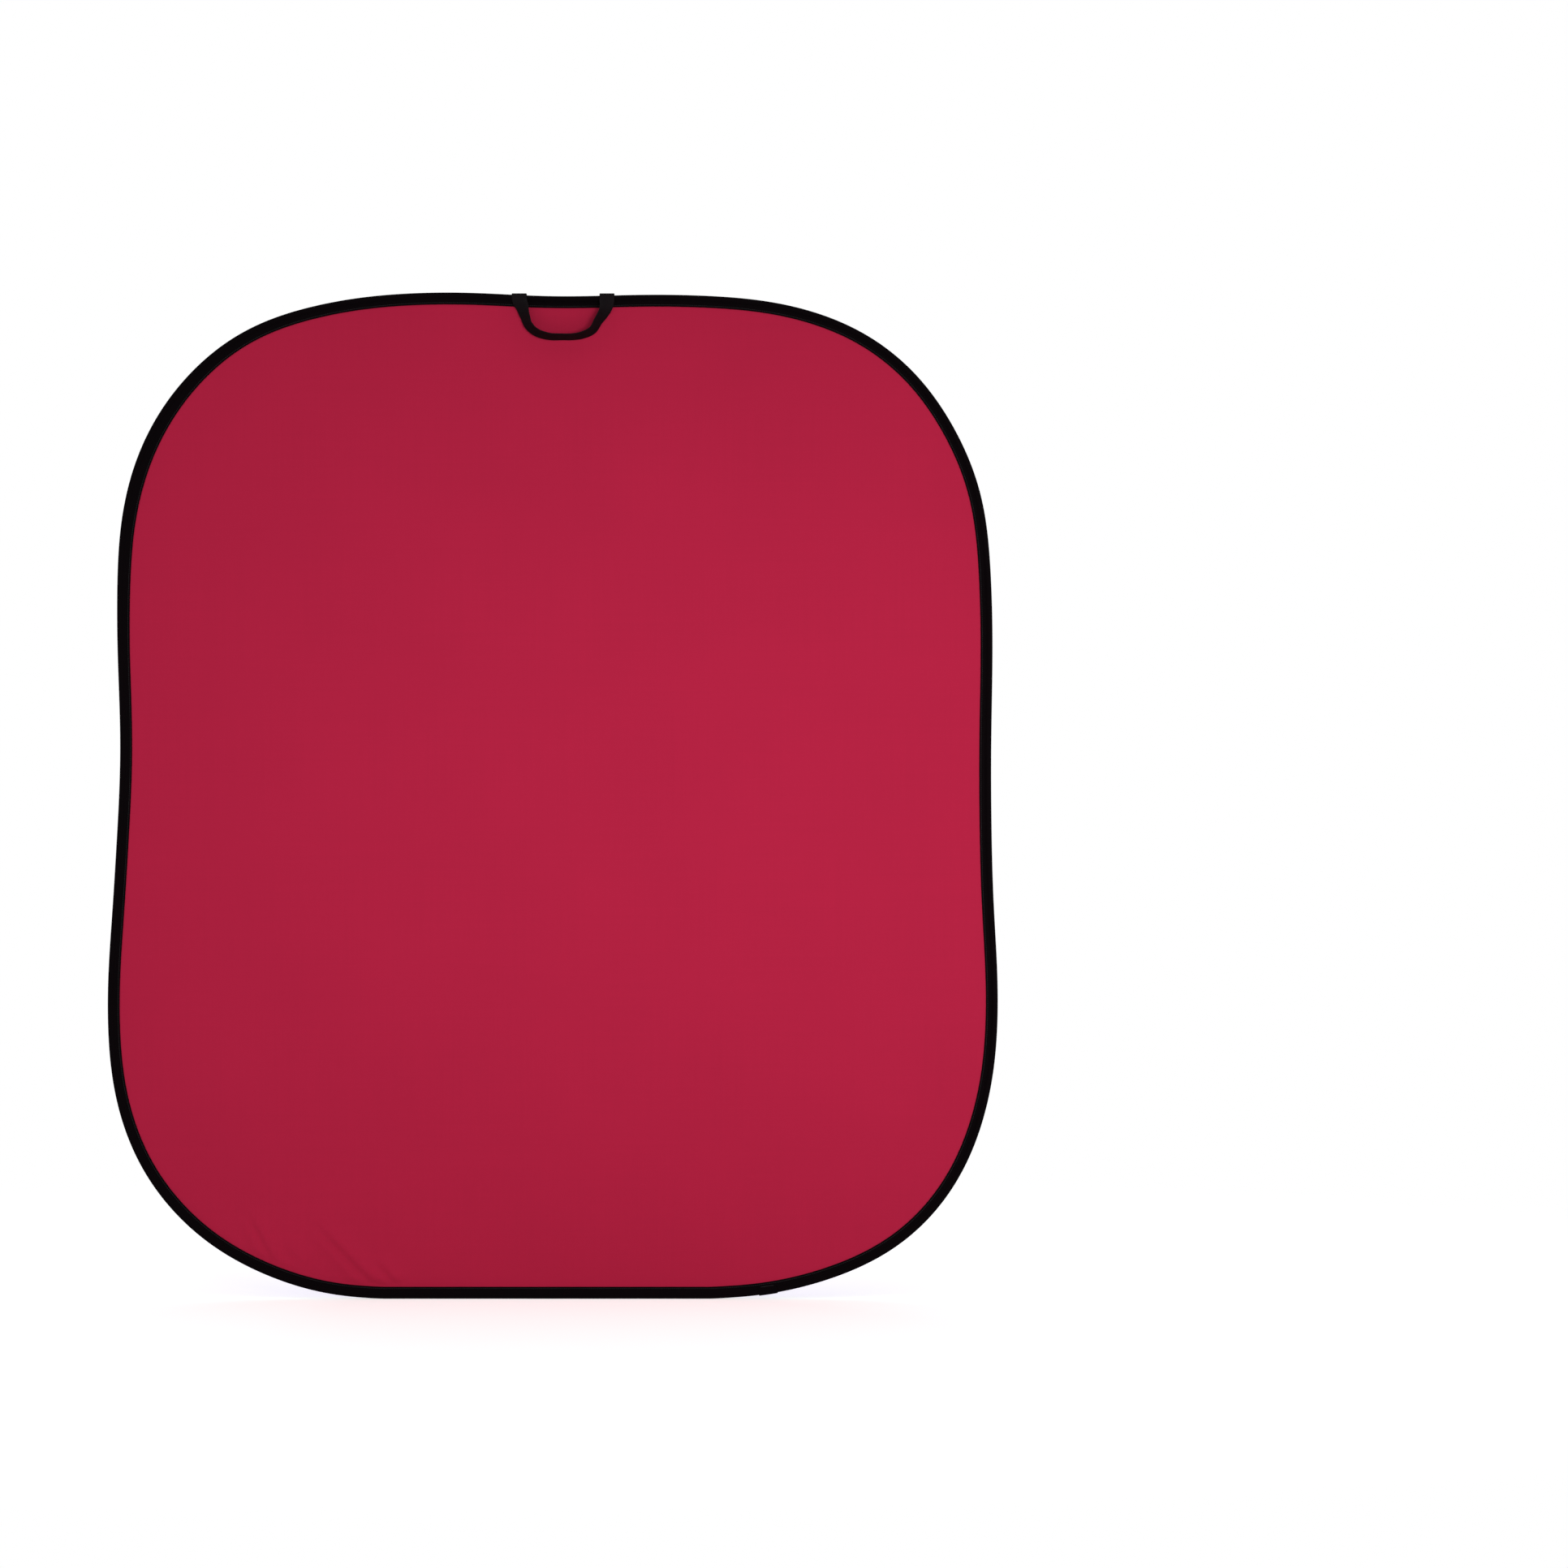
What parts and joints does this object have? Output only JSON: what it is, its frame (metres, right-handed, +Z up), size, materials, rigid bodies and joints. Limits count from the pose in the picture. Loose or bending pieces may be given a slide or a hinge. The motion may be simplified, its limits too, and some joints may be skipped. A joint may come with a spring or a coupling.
{
  "type": "collapsible backdrop panel",
  "caption": "Collapsible reversible studio backdrop panel: a sprung steel hoop sewn into a rounded cloth, red on one face and purple on the other, with a bound edge and a webbing handle.",
  "frame": {"origin": "middle of the bottom edge, where the rim rests on a floor, on the panel's middle plane", "axes": "+Z up, +X to the viewer's right of the red face, -Y the way the red face looks, +Y the way the purple face looks"},
  "size_m": [1.5005, 0.0425, 1.6967],
  "materials": {
    "red_cloth": "matt woven polyester, deep red",
    "purple_cloth": "matt woven polyester, mid purple",
    "lining": "opaque black lining cloth",
    "binding_tape": "black woven polyester binding tape, matt",
    "seam_thread": "black bonded polyester thread, slight sheen",
    "webbing": "black ribbed polypropylene webbing",
    "spring_steel": "blued flat spring steel, satin",
    "zinc_steel": "zinc-plated steel, crimped"
  },
  "bodies": {
    "upper_half": {"upper_binding": "binding_tape", "red_cloth_upper": "red_cloth", "purple_cloth_upper": "purple_cloth", "lining_upper": "lining", "spring_band": "spring_steel", "front_stitching_upper": "seam_thread", "rear_stitching_upper": "seam_thread", "handle_end_left": "webbing", "handle_end_right": "webbing", "handle_stitching_left": "seam_thread", "handle_stitching_right": "seam_thread"},
    "lower_half": {"lower_binding": "binding_tape", "red_cloth_lower": "red_cloth", "purple_cloth_lower": "purple_cloth", "lining_lower": "lining", "band_ferrule": "zinc_steel", "front_stitching_lower": "seam_thread", "rear_stitching_lower": "seam_thread", "binding_lap": "binding_tape", "lap_bartack_front": "seam_thread", "lap_bartack_rear": "seam_thread"},
    "handle_crossover": {"handle_crossover_left": "webbing", "handle_crossover_right": "webbing"},
    "handle_bow": {"handle_loop": "webbing"}
  },
  "joints": [
    {"name": "fold", "type": "hinge", "parent": "upper_half", "child": "lower_half", "pos_m": [0, -0.0066, 0.848], "axis": [-1, 0, 0], "range_deg": [0, 170], "stiffness_Nm_per_rad": 5, "deforming": ["spring_band"]},
    {"name": "handle_lift", "type": "hinge", "parent": "upper_half", "child": "handle_crossover", "pos_m": [0.017, 0.0078, 1.6953], "axis": [-1, 0, 0], "range_deg": [0, 178]},
    {"name": "handle_bend", "type": "hinge", "parent": "handle_crossover", "child": "handle_bow", "pos_m": [0.017, -0.0078, 1.6953], "axis": [-1, 0, 0], "range_deg": [0, 170]}
  ],
  "couplings": [
    {"joint": "handle_bend", "follows": "handle_lift", "ratio": 0.955}
  ]
}
